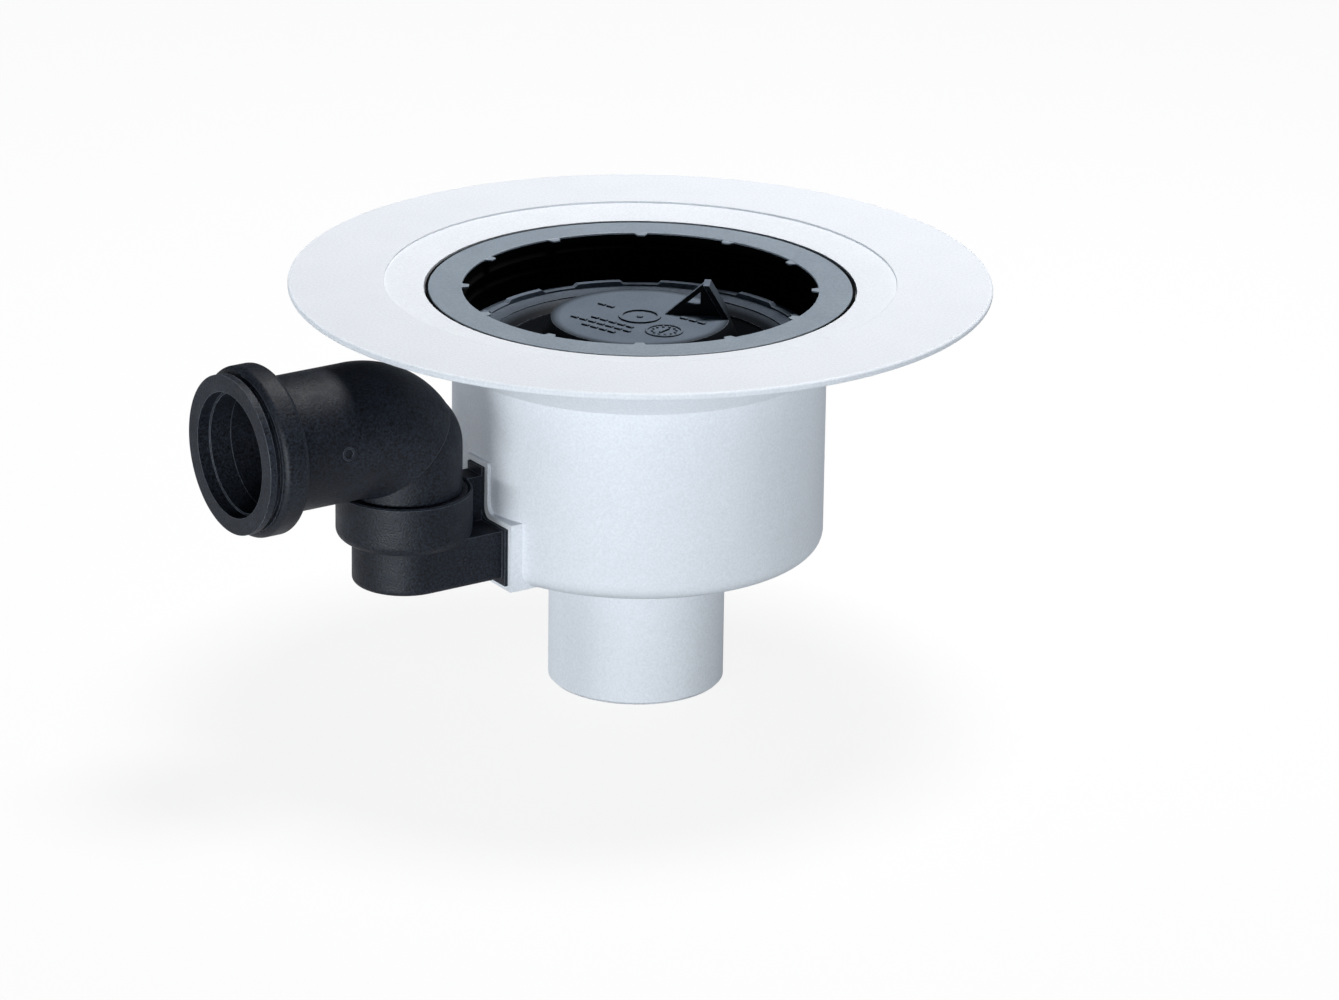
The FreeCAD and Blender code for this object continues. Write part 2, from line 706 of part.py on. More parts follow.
def make_inlet_chamber():
    """Black moulding welded to the boss: lip, tunnel, cup and socket collar."""
    body = new_body("inlet_chamber")
    rounding = size("chamber_round")
    wide = cup_radius
    section = [
        (-wide + rounding, cup_bottom), (wide - rounding, cup_bottom), (wide, cup_bottom + rounding),
        (wide, chamber_top), (-wide, chamber_top), (-wide, cup_bottom + rounding),
    ]
    sketch = new_sketch(body, "tunnel_outline", "YZ_Plane", offset=boss_reach)
    draw_outline(sketch, section, {1: (rounding, 1), 5: (rounding, 1)})
    padded(body, "tunnel", sketch, cup_distance - boss_reach)

    sketch = new_sketch(body, "lip_outline", "YZ_Plane", offset=boss_reach)
    tee_outline(sketch, as_length(0))
    padded(body, "lip", sketch, size("lip_thickness"))

    axis = upright_axis(cup_distance)
    edge = cup_distance + cup_radius
    turned(body, "cup", [
        (cup_distance, cup_bottom), (edge - rounding, cup_bottom), (edge, cup_bottom + rounding),
        (edge, chamber_top), (cup_distance, chamber_top),
    ], {1: (rounding, 1)}, axis)

    edge = cup_distance + collar_radius
    low_round = size("collar_round")
    bevel = size("collar_rim_bevel")
    turned(body, "collar", [
        (cup_distance, collar_bottom), (edge - low_round, collar_bottom), (edge, collar_bottom + low_round),
        (edge, collar_top - bevel), (edge - bevel, collar_top), (cup_distance, collar_top),
    ], {1: (low_round, 1)}, axis)

    slim = size("stem_half_width")
    sketch = new_sketch(body, "web_outline", "YZ_Plane", offset=boss_reach)
    draw_outline(sketch, [(-slim, tunnel_top), (slim, tunnel_top), (slim, collar_top), (-slim, collar_top)])
    padded(body, "web", sketch, cup_distance - collar_bore - boss_reach)

    margin = size("cut_margin")
    bore = cup_distance + tunnel_half_width
    socket = cup_distance + collar_bore
    seat = cup_distance + collar_seat_radius
    turned(body, "cup_inside", [
        (cup_distance, tunnel_bottom), (bore, tunnel_bottom), (bore, collar_floor), (socket, collar_floor),
        (socket, collar_seat), (seat, collar_seat), (seat, collar_top - bevel), (seat + bevel, collar_top),
        (seat + bevel, collar_top + margin), (cup_distance, collar_top + margin),
    ], None, axis, cut=True)

    sketch = new_sketch(body, "tunnel_inside_outline", "YZ_Plane", offset=boss_reach)
    draw_outline(sketch, tunnel_section())
    pocketed(body, "tunnel_inside", sketch, cup_distance - boss_reach, backwards=True)
    return body


def make_collar_seal():
    """Rubber sleeve between the collar and the elbow's spigot."""
    body = new_body("collar_seal")
    outer = cup_distance + collar_seat_radius - size("press_clearance")
    inner = cup_distance + size("elbow_spigot_radius") + size("seat_clearance")
    upper = collar_seat + size("collar_seal_height")
    turned(body, "sleeve", [
        (inner, collar_seat), (outer, collar_seat), (outer, upper - size("collar_rim_bevel")),
        (outer - size("collar_rim_bevel"), upper), (inner, upper),
    ], None, upright_axis(cup_distance))
    return body


# Turn about the bend's inner corner, share of the way from leg to spigot, and share of the crown
BEND_SECTIONS = ((0, 0, 0), (16, 0.09, 0.5), (32, 0.25, 0.9), (48, 0.44, 1))
BORE_SECTIONS = ((0, 0, 0), (22.5, 0.15, 0.2), (45, 0.4, 0.3), (67.5, 0.75, 0.2), (90, 1, 0))


def bend_sections(body, name, rows, wall_leg, wall_spigot):
    """Circles from the level leg towards the upright spigot, less the wall at each end."""
    sketches = []
    shrink = elbow_leg_radius - size("elbow_spigot_radius")
    for number, (turn, share, crown) in enumerate(rows):
        outer = elbow_leg_radius - shrink * share + size("elbow_crown") * crown
        wall = wall_leg + (wall_spigot - wall_leg) * share
        sketch = new_sketch(body, f"{name}_{number}", "YZ_Plane", elbow_corner_x, elbow_corner_z, -turn)
        draw_circle(sketch, (0, outer + size("elbow_corner_radius")), outer - wall)
        sketches.append(sketch)
    return sketches


def lofted(body, kind, name, sketches):
    feature = body.newObject(kind, name)
    feature.Profile = sketches[0]
    feature.Sections = sketches[1:]
    return feature


def make_inlet_elbow():
    """Black elbow: upright spigot, stepped bend with a sharp inner corner, level leg and beaded socket."""
    body = new_body("inlet_elbow")
    spigot = size("elbow_spigot_radius")
    leg = elbow_axis + elbow_leg_radius
    bead = elbow_axis + bead_radius
    rounding = size("bead_round")
    turned(body, "leg", [
        (elbow_corner_x, elbow_axis), (elbow_corner_x, leg), (bead_back - rounding, leg),
        (bead_back, leg + rounding), (bead_back, bead - rounding), (bead_back + rounding, bead),
        (elbow_front - rounding, bead), (elbow_front, bead - rounding), (elbow_front, elbow_axis),
    ], {2: (rounding, 1), 4: (rounding, -1), 6: (rounding, -1)}, LEG_AXIS)

    nothing = as_length(0)
    outside = bend_sections(body, "bend_section", BEND_SECTIONS, nothing, nothing)
    lofted(body, "PartDesign::AdditiveLoft", "bend", outside)

    # The upright spigot ends in a dome, which closes the bend behind the leg's slanting end
    side = cup_distance + spigot
    dome = elbow_corner_z + size("elbow_throat_rise")
    turned(body, "spigot", [
        (cup_distance, elbow_spigot_end), (side, elbow_spigot_end), (side, dome),
        (cup_distance, dome + spigot),
    ], {2: (spigot, 1)}, upright_axis(cup_distance))

    leg_wall = elbow_leg_radius - elbow_flow_radius
    inside = bend_sections(body, "bend_bore_section", BORE_SECTIONS, leg_wall, size("elbow_wall"))
    lofted(body, "PartDesign::SubtractiveLoft", "bend_bore", inside)

    margin = size("cut_margin")
    sketch = new_sketch(body, "spigot_bore_outline", "XY_Plane", offset=elbow_spigot_end - margin)
    draw_circle(sketch, (cup_distance, 0), elbow_flow_radius)
    pocketed(body, "spigot_bore", sketch, elbow_corner_z - elbow_spigot_end + margin, backwards=True)

    flow = elbow_axis + elbow_flow_radius
    bore = elbow_axis + size("inlet_bore_radius")
    groove = bead - size("bead_wall")
    turned(body, "leg_bore", [
        (elbow_corner_x, elbow_axis), (elbow_corner_x, flow), (inlet_stop, flow), (inlet_stop, bore),
        (socket_seal_back, bore), (socket_seal_back, groove), (elbow_front + margin, groove),
        (elbow_front + margin, elbow_axis),
    ], None, LEG_AXIS, cut=True)
    return body


def make_elbow_socket_seal():
    """Rubber ring held in the elbow's bead, with a wide rim in front of it."""
    body = new_body("elbow_socket_seal")
    hole = elbow_axis + size("inlet_bore_radius")
    groove = elbow_axis + bead_radius - size("bead_wall") - size("press_clearance")
    neck = elbow_axis + size("inlet_bore_radius") + size("socket_seal_neck_rise")
    rim = elbow_axis + size("inlet_bore_radius") + size("socket_seal_rim_rise")
    rim_back = elbow_mouth - size("socket_seal_rim")
    entry = hole + size("socket_seal_lip")
    lip = elbow_mouth - size("socket_seal_lip_depth")
    turned(body, "seal", [
        (socket_seal_back, hole), (lip, hole), (lip, entry), (elbow_mouth, entry), (elbow_mouth, rim),
        (rim_back, rim), (rim_back, neck), (elbow_front, neck), (elbow_front, groove),
        (socket_seal_back, groove),
    ], None, LEG_AXIS)
    return body


pieces = [
    make_drain_body(),
    make_seal_clamp_ring(),
    make_mouth_seal(),
    make_trap_funnel(),
    make_trap_bell(),
    make_standpipe(),
    make_standpipe_o_ring(),
    make_inlet_chamber(),
    make_collar_seal(),
    make_inlet_elbow(),
    make_elbow_socket_seal(),
]
doc.recompute()

failed = [item.Label for item in doc.Objects if "Invalid" in item.State or "Error" in item.State]
if failed:
    raise RuntimeError(f"failed features: {failed}")
for piece in pieces:
    if piece.Shape.isNull() or not piece.Shape.isValid():
        raise RuntimeError(f"bad solid: {piece.Label}")

os.makedirs("parts", exist_ok=True)
for piece in pieces:
    piece.Shape.exportStep(f"parts/{piece.Label}.step")
    print(piece.Label, len(piece.Shape.Solids), round(piece.Shape.Volume))
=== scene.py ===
import bmesh
import bpy
import math
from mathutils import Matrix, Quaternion, Vector


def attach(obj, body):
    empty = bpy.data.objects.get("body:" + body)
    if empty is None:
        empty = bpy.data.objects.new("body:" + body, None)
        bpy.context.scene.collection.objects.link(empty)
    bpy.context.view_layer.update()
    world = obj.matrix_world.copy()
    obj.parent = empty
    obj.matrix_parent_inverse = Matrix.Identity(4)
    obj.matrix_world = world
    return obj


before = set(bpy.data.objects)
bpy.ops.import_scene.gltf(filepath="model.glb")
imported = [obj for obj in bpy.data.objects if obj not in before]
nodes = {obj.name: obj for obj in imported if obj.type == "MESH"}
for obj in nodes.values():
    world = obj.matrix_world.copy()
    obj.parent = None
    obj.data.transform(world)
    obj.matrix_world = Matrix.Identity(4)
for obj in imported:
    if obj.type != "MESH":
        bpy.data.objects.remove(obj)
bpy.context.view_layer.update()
scene = bpy.context.scene

# Camera: the photograph's frame is 1339 x 1000 pixels
FRAME_WIDTH = 1339
FRAME_HEIGHT = 1000
FOCAL_PIXELS = 6667
SENSOR_WIDTH = 36
CLIP_END = 100
FLANGE_CENTRE = Vector((0, 0, 0.178))
FLANGE_PIXEL = (640.5, 278.5)
VIEW_AZIMUTH = math.radians(56.5)
VIEW_ELEVATION = math.radians(18.17)
VIEW_DISTANCE = 2.8
VIEW_ROLL = math.radians(0.75)


def make_camera():
    """Camera aimed so that the flange's centre lands on its pixel of the photograph."""
    toward = Vector((
        math.cos(VIEW_AZIMUTH) * math.cos(VIEW_ELEVATION),
        math.sin(VIEW_AZIMUTH) * math.cos(VIEW_ELEVATION),
        math.sin(VIEW_ELEVATION),
    ))
    data = bpy.data.cameras.new("camera")
    data.sensor_width = SENSOR_WIDTH
    data.lens = FOCAL_PIXELS * SENSOR_WIDTH / FRAME_WIDTH
    data.clip_end = CLIP_END
    camera = bpy.data.objects.new("camera", data)
    scene.collection.objects.link(camera)
    right = FRAME_WIDTH / 2 - FLANGE_PIXEL[0]
    down = FRAME_HEIGHT / 2 - FLANGE_PIXEL[1]
    aim = (-toward).to_track_quat("-Z", "Y")
    roll = Quaternion((0, 0, 1), VIEW_ROLL)
    pitch = Quaternion((1, 0, 0), -math.atan(down / FOCAL_PIXELS))
    yaw = Quaternion((0, 1, 0), -math.atan(right / FOCAL_PIXELS))
    camera.rotation_mode = "QUATERNION"
    camera.rotation_quaternion = aim @ roll @ yaw @ pitch
    camera.location = FLANGE_CENTRE + toward * VIEW_DISTANCE
    scene.camera = camera
    return toward


toward_camera = make_camera()
camera_left = Vector((toward_camera.y, -toward_camera.x, 0)).normalized()
camera_front = Vector((toward_camera.x, toward_camera.y, 0)).normalized()

# Light: a softbox overhead, low softboxes around the drain, and a card for the front reflections
OBJECT_MIDDLE = Vector((0.03, 0, 0.1))
TOP_PLACE = (-0.4, -0.3, 1.5)
TOP_SIDE = 0.55
TOP_POWER = 25.8
TOP_COLOUR = (1.0, 0.995, 0.985)
LOW_RISE = 0.08
LOW_HEIGHT = 0.22
LOW_COLOUR = (0.94, 0.98, 1.0)
LOW_LIGHTS = (
    # name, forward, leftward, width, power, seen in reflections
    ("front_light", 2.2, 0.0, 0.5, 13, False),
    ("left_light", 1.7, 1.4, 0.9, 24, True),
    ("right_light", 1.3, -1.75, 0.6, 14, False),
    ("side_light", -1.39, 1.57, 0.9, 18, False),
)
CARD_PLACE = (0.9, 0.3, -0.065)
CARD_WIDTH = 0.34
CARD_HEIGHT = 0.06
CARD_POWER = 12
CARD_COLOUR = (0.86, 0.94, 1.0)


def make_softbox(name, place, width, height, power, colour):
    """Soft lamp aimed at the drain's middle. place: forward, leftward and up from there, for the camera."""
    forward, leftward, rise = place
    location = OBJECT_MIDDLE + camera_front * forward + camera_left * leftward + Vector((0, 0, rise))
    data = bpy.data.lights.new(name, "AREA")
    data.shape = "RECTANGLE"
    data.size = width
    data.size_y = height
    data.energy = power
    data.color = colour
    lamp = bpy.data.objects.new(name, data)
    lamp.location = location
    lamp.rotation_mode = "QUATERNION"
    lamp.rotation_quaternion = (OBJECT_MIDDLE - location).to_track_quat("-Z", "Y")
    lamp.visible_camera = False
    scene.collection.objects.link(lamp)
    return lamp


def make_lights():
    make_softbox("top_light", TOP_PLACE, TOP_SIDE, TOP_SIDE, TOP_POWER, TOP_COLOUR)
    for name, forward, leftward, width, power, reflected in LOW_LIGHTS:
        place = (forward, leftward, LOW_RISE)
        low_light = make_softbox(name, place, width, LOW_HEIGHT, power, LOW_COLOUR)
        low_light.visible_glossy = reflected
    card = make_softbox("card_light", CARD_PLACE, CARD_WIDTH, CARD_HEIGHT, CARD_POWER, CARD_COLOUR)
    card.visible_diffuse = False


make_lights()

# World: faint sky light, white where the camera sees it
AMBIENT_COLOUR = (0.62, 0.84, 1.0, 1)
AMBIENT_STRENGTH = 0.045
PLAIN_WHITE = (1, 1, 1, 1)


def make_world():
    world = bpy.data.worlds.new("studio")
    scene.world = world
    world.use_nodes = True
    tree = world.node_tree
    tree.nodes.clear()
    output = tree.nodes.new("ShaderNodeOutputWorld")
    ambient = tree.nodes.new("ShaderNodeBackground")
    ambient.inputs["Color"].default_value = AMBIENT_COLOUR
    ambient.inputs["Strength"].default_value = AMBIENT_STRENGTH
    backdrop = tree.nodes.new("ShaderNodeBackground")
    backdrop.inputs["Color"].default_value = PLAIN_WHITE
    backdrop.inputs["Strength"].default_value = 1
    path = tree.nodes.new("ShaderNodeLightPath")
    mix = tree.nodes.new("ShaderNodeMixShader")
    tree.links.new(path.outputs["Is Camera Ray"], mix.inputs["Fac"])
    tree.links.new(ambient.outputs["Background"], mix.inputs[1])
    tree.links.new(backdrop.outputs["Background"], mix.inputs[2])
    tree.links.new(mix.outputs["Shader"], output.inputs["Surface"])


make_world()
scene.view_settings.view_transform = "Standard"

# Material helpers
# A noise value lies mostly between these two
NOISE_LOW = 0.3
NOISE_HIGH = 0.7
# Scale, detail and roughness of the noises; each finish has its own grain scale
MOTTLE_NOISE = (38, 4, 0.6)
SHEEN_NOISE = (140, 4, 0.65)
GRAIN_DETAIL = 2
GRAIN_ROUGHNESS = 0.6
SHEEN_SHARE = 0.5
GRAIN_STRENGTH = 0.5
# Cosine between the true and the softened normal, on a lightened edge and off it
EDGE_START = 0.86
EDGE_END = 0.985
BEVEL_SAMPLES = 4


class Shader:
    """A node material under construction, with its Principled shader and object coordinates."""

    def __init__(self, name):
        self.material = bpy.data.materials.new(name)
        self.material.use_nodes = True
        self.tree = self.material.node_tree
        self.surface = self.tree.nodes["Principled BSDF"]
        self.place = self.tree.nodes.new("ShaderNodeTexCoord").outputs["Object"]

    def link(self, source, target):
        self.tree.links.new(source, target)

    def noise(self, scale, detail, roughness):
        node = self.tree.nodes.new("ShaderNodeTexNoise")
        node.inputs["Scale"].default_value = scale
        node.inputs["Detail"].default_value = detail
        node.inputs["Roughness"].default_value = roughness
        self.link(self.place, node.inputs["Vector"])
        return node.outputs["Fac"]

    def height(self):
        """Height above the spigot's lower end."""
        node = self.tree.nodes.new("ShaderNodeSeparateXYZ")
        self.link(self.place, node.inputs["Vector"])
        return node.outputs["Z"]

    def radius(self):
        """Distance from the drain's upright axis."""
        flat = self.tree.nodes.new("ShaderNodeVectorMath")
        flat.operation = "MULTIPLY"
        flat.inputs[1].default_value = (1, 1, 0)
        self.link(self.place, flat.inputs[0])
        node = self.tree.nodes.new("ShaderNodeVectorMath")
        node.operation = "LENGTH"
        self.link(flat.outputs["Vector"], node.inputs[0])
        return node.outputs["Value"]

    def facing_up(self):
        """How far the surface faces up, from -1 to 1."""
        geometry = self.tree.nodes.new("ShaderNodeNewGeometry")
        node = self.tree.nodes.new("ShaderNodeSeparateXYZ")
        self.link(geometry.outputs["Normal"], node.inputs["Vector"])
        return node.outputs["Z"]

    def edges(self, normal):
        """1 where the softened normal leaves the true one, which is on the edges."""
        geometry = self.tree.nodes.new("ShaderNodeNewGeometry")
        node = self.tree.nodes.new("ShaderNodeVectorMath")
        node.operation = "DOT_PRODUCT"
        self.link(geometry.outputs["Normal"], node.inputs[0])
        self.link(normal, node.inputs[1])
        return self.spread(node.outputs["Value"], 1, 0, EDGE_START, EDGE_END)

    def ramp(self, source, stops):
        node = self.tree.nodes.new("ShaderNodeValToRGB")
        ramp = node.color_ramp
        while len(ramp.elements) < len(stops):
            ramp.elements.new(0.5)
        for element, (position, colour) in zip(ramp.elements, stops):
            element.position = position
            element.color = (*colour, 1)
        self.link(source, node.inputs["Fac"])
        return node.outputs["Color"]

    def spread(self, source, low, high, start=NOISE_LOW, end=NOISE_HIGH):
        """Map a value that runs from start to end, such as a noise, to the range from low to high."""
        node = self.tree.nodes.new("ShaderNodeMapRange")
        node.inputs["From Min"].default_value = start
        node.inputs["From Max"].default_value = end
        node.inputs["To Min"].default_value = low
        node.inputs["To Max"].default_value = high
        self.link(source, node.inputs["Value"])
        return node.outputs["Result"]

    def blend(self, mode, amount, first, second):
        node = self.tree.nodes.new("ShaderNodeMix")
        node.data_type = "RGBA"
        node.blend_type = mode
        node.inputs["Factor"].default_value = amount
        self.link(first, node.inputs["A"])
        self.link(second, node.inputs["B"])
        return node.outputs["Result"]

    def mixed(self, share, first, colour):
        """Cross over from a linked colour to a fixed one."""
        node = self.tree.nodes.new("ShaderNodeMix")
        node.data_type = "RGBA"
        node.inputs["B"].default_value = (*colour, 1)
        self.link(share, node.inputs["Factor"])
        self.link(first, node.inputs["A"])
        return node.outputs["Result"]

    def bump(self, source, strength, depth, normal):
        node = self.tree.nodes.new("ShaderNodeBump")
        node.inputs["Strength"].default_value = strength
        node.inputs["Distance"].default_value = depth
        self.link(source, node.inputs["Height"])
        self.link(normal, node.inputs["Normal"])
        return node.outputs["Normal"]

    def rounded(self, radius):
        """Normal of the surface as if its edges were rounded."""
        node = self.tree.nodes.new("ShaderNodeBevel")
        node.samples = BEVEL_SAMPLES
        node.inputs["Radius"].default_value = radius
        return node.outputs["Normal"]


def moulded(name, tones, gloss, grain, edge, shine=0.5, wear_and_highlight=None, painted_depth_shade=None, painted_side_shade=None, painted_edge_shade=None):
    """Moulded plastic or rubber: mottled colour, fine speckle, satin grain, softened edges with wear and
    painted highlight.

    tones: the mottle's dark and light colour. gloss: lowest and highest roughness.
    grain: its scale, its depth, and the darkest and lightest speckle.
    edge: radius of the softened edges. shine: specular level.
    wear_and_highlight: colour of the edges, lighter partly as wear and partly as a painted edge highlight.
    painted_depth_shade: a low and a high level, and the share of colour left at the low one: painted shade,
    darker below.
    painted_side_shade: the same for how far a surface faces up: painted shade on faces not turned up.
    painted_edge_shade: the same for the distance from the drain's axis: painted shade towards the outer
    edge.
    """
    shader = Shader(name)
    shader.surface.inputs["Specular IOR Level"].default_value = shine
    dark, light = tones
    grain_scale, grain_depth, low, high = grain
    mottle = shader.noise(*MOTTLE_NOISE)
    colour = shader.ramp(mottle, [(NOISE_LOW, dark), (NOISE_HIGH, light)])
    grit = shader.noise(grain_scale, GRAIN_DETAIL, GRAIN_ROUGHNESS)
    specks = shader.ramp(grit, [(NOISE_LOW, (low,) * 3), (NOISE_HIGH, (high,) * 3)])
    colour = shader.blend("MULTIPLY", 1.0, colour, specks)
    # Painted shade: darker below a height, on faces not turned up, and away from the drain's axis
    for source, limits in ((shader.height, painted_depth_shade), (shader.facing_up, painted_side_shade), (shader.radius, painted_edge_shade)):
        if limits is None:
            continue
        share = shader.spread(source(), 0, 1, limits[0], limits[1])
        painted_shade = shader.ramp(share, [(0.0, (limits[2],) * 3), (1.0, (1, 1, 1))])
        colour = shader.blend("MULTIPLY", 1.0, colour, painted_shade)
    soft_normal = shader.rounded(edge)
    # Edges lightened, partly as wear and partly as a painted edge highlight
    if wear_and_highlight is not None:
        colour = shader.mixed(shader.edges(soft_normal), colour, wear_and_highlight)
    shader.link(colour, shader.surface.inputs["Base Color"])
    rough = shader.blend("MIX", SHEEN_SHARE, shader.noise(*SHEEN_NOISE), grit)
    shader.link(shader.spread(rough, *gloss), shader.surface.inputs["Roughness"])
    normal = shader.bump(grit, GRAIN_STRENGTH, grain_depth, soft_normal)
    shader.link(normal, shader.surface.inputs["Normal"])
    return shader.material


# Finishes; their lighter edges are partly wear, partly painted highlight
white_plastic = moulded(
    "white_moulding",
    tones=((0.80, 0.83, 0.885), (0.825, 0.855, 0.91)),
    gloss=(0.58, 0.68),
    grain=(1000, 0.00006, 0.90, 1.02),
    edge=0.0005,
    shine=0.25,
    wear_and_highlight=(0.86, 0.88, 0.92),
)
ring_plastic = moulded(
    "ring_moulding",
    tones=((0.27, 0.32, 0.385), (0.305, 0.36, 0.42)),
    gloss=(0.38, 0.50),
    grain=(1000, 0.00006, 0.78, 1.05),
    edge=0.0004,
    wear_and_highlight=(0.45, 0.50, 0.56),
)
# Bell: painted shade, darker below the cap's top, on faces not turned up, and towards the cap's outer edge
bell_plastic = moulded(
    "bell_moulding",
    tones=((0.135, 0.166, 0.212), (0.17, 0.205, 0.255)),
    gloss=(0.40, 0.52),
    grain=(1000, 0.00006, 0.78, 1.05),
    edge=0.0004,
    shine=0.12,
    wear_and_highlight=(0.24, 0.28, 0.33),
    painted_depth_shade=(0.1555, 0.1605, 0.06),
    painted_side_shade=(0.3, 0.8, 0.06),
    painted_edge_shade=(0.0374, 0.0335, 0.2),
)
# Funnel: painted shade, darker towards the bottom of the dish
funnel_plastic = moulded(
    "funnel_moulding",
    tones=((0.155, 0.19, 0.245), (0.185, 0.22, 0.275)),
    gloss=(0.42, 0.54),
    grain=(1000, 0.00006, 0.72, 1.05),
    edge=0.0004,
    shine=0.08,
    wear_and_highlight=(0.34, 0.39, 0.45),
    painted_depth_shade=(0.1482, 0.1536, 0.06),
)
black_plastic = moulded(
    "black_moulding",
    tones=((0.0045, 0.0058, 0.0092), (0.0085, 0.0106, 0.016)),
    gloss=(0.40, 0.66),
    grain=(1050, 0.0005, 0.0, 2.7),
    edge=0.0006,
    shine=0.16,
    wear_and_highlight=(0.11, 0.125, 0.155),
)
black_rubber = moulded(
    "seal_rubber",
    tones=((0.0072, 0.0092, 0.0138), (0.0125, 0.0154, 0.0224)),
    gloss=(0.42, 0.68),
    grain=(1050, 0.0005, 0.0, 2.7),
    edge=0.0005,
    shine=0.16,
    wear_and_highlight=(0.14, 0.155, 0.185),
)
# Seal in the mouth: black rubber, made near black and hardly reflecting as painted shade of the mouth's gap
# and wall
mouth_rubber_and_shade = moulded(
    "mouth_rubber_and_shade",
    tones=((0.002, 0.002, 0.0024), (0.0035, 0.0035, 0.004)),
    gloss=(0.8, 0.9),
    grain=(1100, 0.00004, 0.7, 1.0),
    edge=0.0004,
    shine=0.04,
)

FINISHES = {
    "drain_body": white_plastic,
    "seal_clamp_ring": ring_plastic,
    "mouth_seal": mouth_rubber_and_shade,
    "trap_funnel": funnel_plastic,
    "trap_bell": bell_plastic,
    "standpipe": funnel_plastic,
    "standpipe_o_ring": black_rubber,
    "inlet_chamber": black_plastic,
    "collar_seal": black_rubber,
    "inlet_elbow": black_plastic,
    "elbow_socket_seal": black_rubber,
}
for node_name, finish in FINISHES.items():
    nodes[node_name].data.materials.clear()
    nodes[node_name].data.materials.append(finish)

# Relief helpers
RELIEF_SINK = 0.0003
RELIEF_BEVEL = 0.0003
RING_STEPS = 48
RING_SHOULDER = 0.6
RING_CROWN = 0.2


def add_prism(mesh, outline, base, rise):
    """Upright prism over a closed outline, with a chamfered top edge."""
    middle = sum(outline, Vector()) / len(outline)
    levels = []
    for level, inset in ((-RELIEF_SINK, 0.0), (rise - RELIEF_BEVEL, 0.0), (rise, RELIEF_BEVEL)):
        ring = []
        for point in outline:
            inward = (middle - point).normalized() * inset
            ring.append(mesh.verts.new(base + point + inward + Vector((0, 0, level))))
        levels.append(ring)
    count = len(outline)
    for lower, upper in zip(levels, levels[1:]):
        for index in range(count):
            follow = (index + 1) % count
            mesh.faces.new((lower[index], lower[follow], upper[follow], upper[index]))
    mesh.faces.new(levels[-1])
    mesh.faces.new(reversed(levels[0]))


def circle_outline(radius, count):
    turns = [2 * math.pi * index / count for index in range(count)]
    return [Vector((radius * math.cos(turn), radius * math.sin(turn), 0)) for turn in turns]


def bar_outline(length, width, direction):
    side = Vector((-direction.y, direction.x, 0))
    corners = ((-0.5, -0.5), (0.5, -0.5), (0.5, 0.5), (-0.5, 0.5))
    return [direction * length * x + side * width * y for x, y in corners]


def add_ring(mesh, centre, radius, width, rise, axis_x, axis_y):
    """Raised ring of rounded section, lying in the plane of the two axes."""
    axis_z = axis_x.cross(axis_y)
    shoulder = rise * RING_SHOULDER
    section = (
        # place across the ring as a share of its width, height
        (-0.5, -RELIEF_SINK),
        (-0.5, shoulder),
        (-RING_CROWN, rise),
        (RING_CROWN, rise),
        (0.5, shoulder),
        (0.5, -RELIEF_SINK),
    )
    rings = []
    for index in range(RING_STEPS):
        turn = 2 * math.pi * index / RING_STEPS
        outward = axis_x * math.cos(turn) + axis_y * math.sin(turn)
        places = [centre + outward * (radius + width * r) + axis_z * z for r, z in section]
        rings.append([mesh.verts.new(place) for place in places])
    sides = len(section)
    for index, ring in enumerate(rings):
        follow = rings[(index + 1) % RING_STEPS]
        for side in range(sides):
            after = (side + 1) % sides
            mesh.faces.new((ring[side], follow[side], follow[after], ring[after]))


def add_piece(name, mesh, finish, body):
    bmesh.ops.recalc_face_normals(mesh, faces=mesh.faces)
    data = bpy.data.meshes.new(name)
    mesh.to_mesh(data)
    mesh.free()
    data.materials.append(finish)
    piece = bpy.data.objects.new(name, data)
    scene.collection.objects.link(piece)
    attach(piece, body)


# Relief on the bell's cap: plain raised bars in rows, a moulder's date ring with pips, and a centre pip
CAP_TOP = 0.161
RELIEF_RISE = 0.0008
ROW_AZIMUTH = math.radians(107.7)
BAR_WIDTH = 0.0016
BAR_LENGTH = 0.0034
BAR_GAP = 0.0013
BAR_ROWS = (
    # distance from the centre, first and last place along the row
    (0.0135, -0.015, 0.009),
    (0.0185, -0.022, 0.010),
    (0.0235, -0.012, 0.010),
    (-0.002, -0.024, -0.012),
    (-0.010, 0.014, 0.028),
)
DATE_RING_PLACE = (0.0195, 0.008)
DATE_RING_RADIUS = 0.0075
DATE_RING_WIDTH = 0.0012
DATE_PIPS = 12
DATE_PIP_RADIUS = 0.0006
DATE_PIP_SIDES = 8
PIP_CIRCLE_SHARE = 0.68
POINTER_LENGTH = 0.006
POINTER_WIDTH = 0.0012
CENTRE_PIP_RADIUS = 0.0014
CENTRE_PIP_SIDES = 16
along = Vector((math.cos(ROW_AZIMUTH), math.sin(ROW_AZIMUTH), 0))
across = Vector((math.sin(ROW_AZIMUTH), -math.cos(ROW_AZIMUTH), 0))


def on_cap(place, offset=0.0):
    return along * place + across * offset + Vector((0, 0, CAP_TOP))


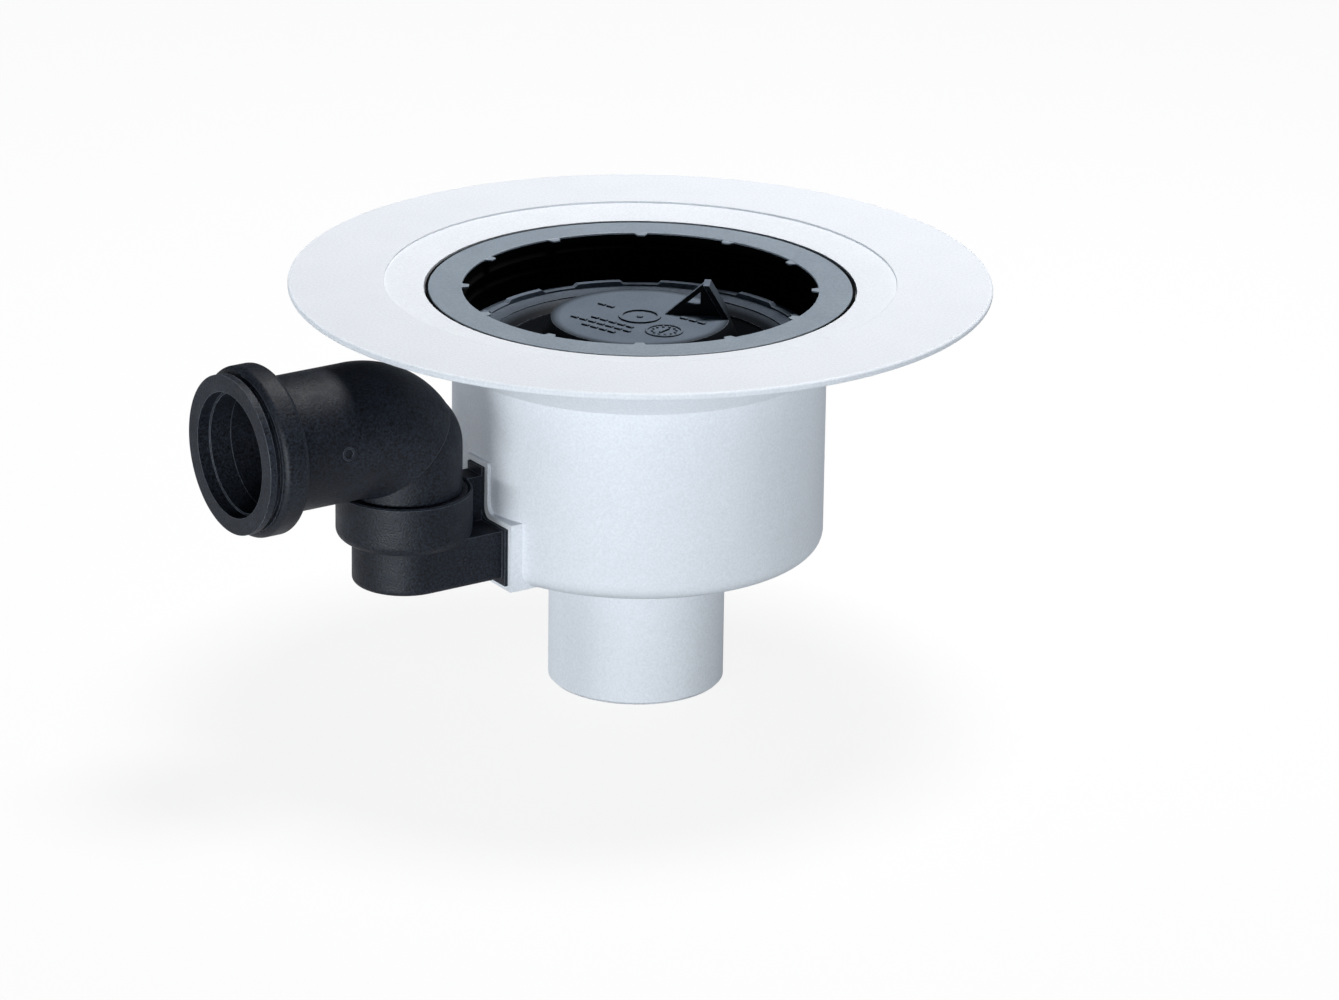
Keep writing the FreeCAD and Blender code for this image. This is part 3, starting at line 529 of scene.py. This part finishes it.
def make_cap_relief():
    mesh = bmesh.new()
    for offset, first, last in BAR_ROWS:
        place = first
        while place + BAR_LENGTH <= last:
            centre = on_cap(place + BAR_LENGTH / 2, offset)
            add_prism(mesh, bar_outline(BAR_LENGTH, BAR_WIDTH, along), centre, RELIEF_RISE)
            place += BAR_LENGTH + BAR_GAP
    ring_centre = on_cap(*DATE_RING_PLACE)
    axes = (Vector((1, 0, 0)), Vector((0, 1, 0)))
    add_ring(mesh, ring_centre, DATE_RING_RADIUS, DATE_RING_WIDTH, RELIEF_RISE, *axes)
    pip = circle_outline(DATE_PIP_RADIUS, DATE_PIP_SIDES)
    for point in circle_outline(DATE_RING_RADIUS * PIP_CIRCLE_SHARE, DATE_PIPS):
        add_prism(mesh, pip, ring_centre + point, RELIEF_RISE)
    add_prism(mesh, bar_outline(POINTER_LENGTH, POINTER_WIDTH, across), ring_centre, RELIEF_RISE)
    add_prism(mesh, circle_outline(CENTRE_PIP_RADIUS, CENTRE_PIP_SIDES), on_cap(0), RELIEF_RISE)
    add_piece("cap_relief", mesh, bell_plastic, "drain")


make_cap_relief()

# Gate mark on the elbow's leg
GATE_X = 0.1596
GATE_TURN = math.radians(3.7)
GATE_RADIUS = 0.0024
GATE_WIDTH = 0.0011
GATE_RISE = 0.0005
LEG_RADIUS = 0.0283
LEG_AXIS_Z = 0.1362


def make_gate_mark():
    outward = Vector((0, math.cos(GATE_TURN), math.sin(GATE_TURN)))
    centre = Vector((GATE_X, 0, LEG_AXIS_Z)) + outward * LEG_RADIUS
    lengthwise = Vector((1, 0, 0))
    mesh = bmesh.new()
    add_ring(mesh, centre, GATE_RADIUS, GATE_WIDTH, GATE_RISE, lengthwise, outward.cross(lengthwise))
    add_piece("gate_mark", mesh, black_plastic, "elbow")


make_gate_mark()

# Floor
FLOOR_DROP = 0.0003
FLOOR_HALF = 6.0
FLOOR_SEEN = (0.95, 0.95, 0.95, 1)
FLOOR_BOUNCE = (0.22, 0.24, 0.26, 1)
FLOOR_ROUGHNESS = 0.9
FLOOR_GLOW = 0.88


def make_floor():
    """White paper: seen and reflected nearly white with the shadow, and it throws little light back up."""
    mesh = bpy.data.meshes.new("floor")
    signs = ((-1, -1), (1, -1), (1, 1), (-1, 1))
    corners = [(x * FLOOR_HALF, y * FLOOR_HALF, -FLOOR_DROP) for x, y in signs]
    mesh.from_pydata(corners, [], [(0, 1, 2, 3)])
    floor = bpy.data.objects.new("floor", mesh)
    scene.collection.objects.link(floor)
    material = bpy.data.materials.new("floor_paper")
    material.use_nodes = True
    tree = material.node_tree
    surface = tree.nodes["Principled BSDF"]
    surface.inputs["Roughness"].default_value = FLOOR_ROUGHNESS
    surface.inputs["Specular IOR Level"].default_value = 0
    path = tree.nodes.new("ShaderNodeLightPath")
    tone = tree.nodes.new("ShaderNodeMix")
    tone.data_type = "RGBA"
    tone.inputs["A"].default_value = FLOOR_BOUNCE
    tone.inputs["B"].default_value = FLOOR_SEEN
    tree.links.new(path.outputs["Is Camera Ray"], tone.inputs["Factor"])
    tree.links.new(tone.outputs["Result"], surface.inputs["Base Color"])
    glow = tree.nodes.new("ShaderNodeEmission")
    glow.inputs["Color"].default_value = PLAIN_WHITE
    glow.inputs["Strength"].default_value = 1
    seen = path.outputs["Is Camera Ray"]
    for ray in ("Is Glossy Ray", "Is Transmission Ray"):
        either = tree.nodes.new("ShaderNodeMath")
        either.operation = "MAXIMUM"
        tree.links.new(seen, either.inputs[0])
        tree.links.new(path.outputs[ray], either.inputs[1])
        seen = either.outputs["Value"]
    share = tree.nodes.new("ShaderNodeMath")
    share.operation = "MULTIPLY"
    share.inputs[1].default_value = FLOOR_GLOW
    tree.links.new(seen, share.inputs[0])
    mix = tree.nodes.new("ShaderNodeMixShader")
    tree.links.new(share.outputs["Value"], mix.inputs["Fac"])
    tree.links.new(surface.outputs["BSDF"], mix.inputs[1])
    tree.links.new(glow.outputs["Emission"], mix.inputs[2])
    tree.links.new(mix.outputs["Shader"], tree.nodes["Material Output"].inputs["Surface"])
    mesh.materials.append(material)


make_floor()
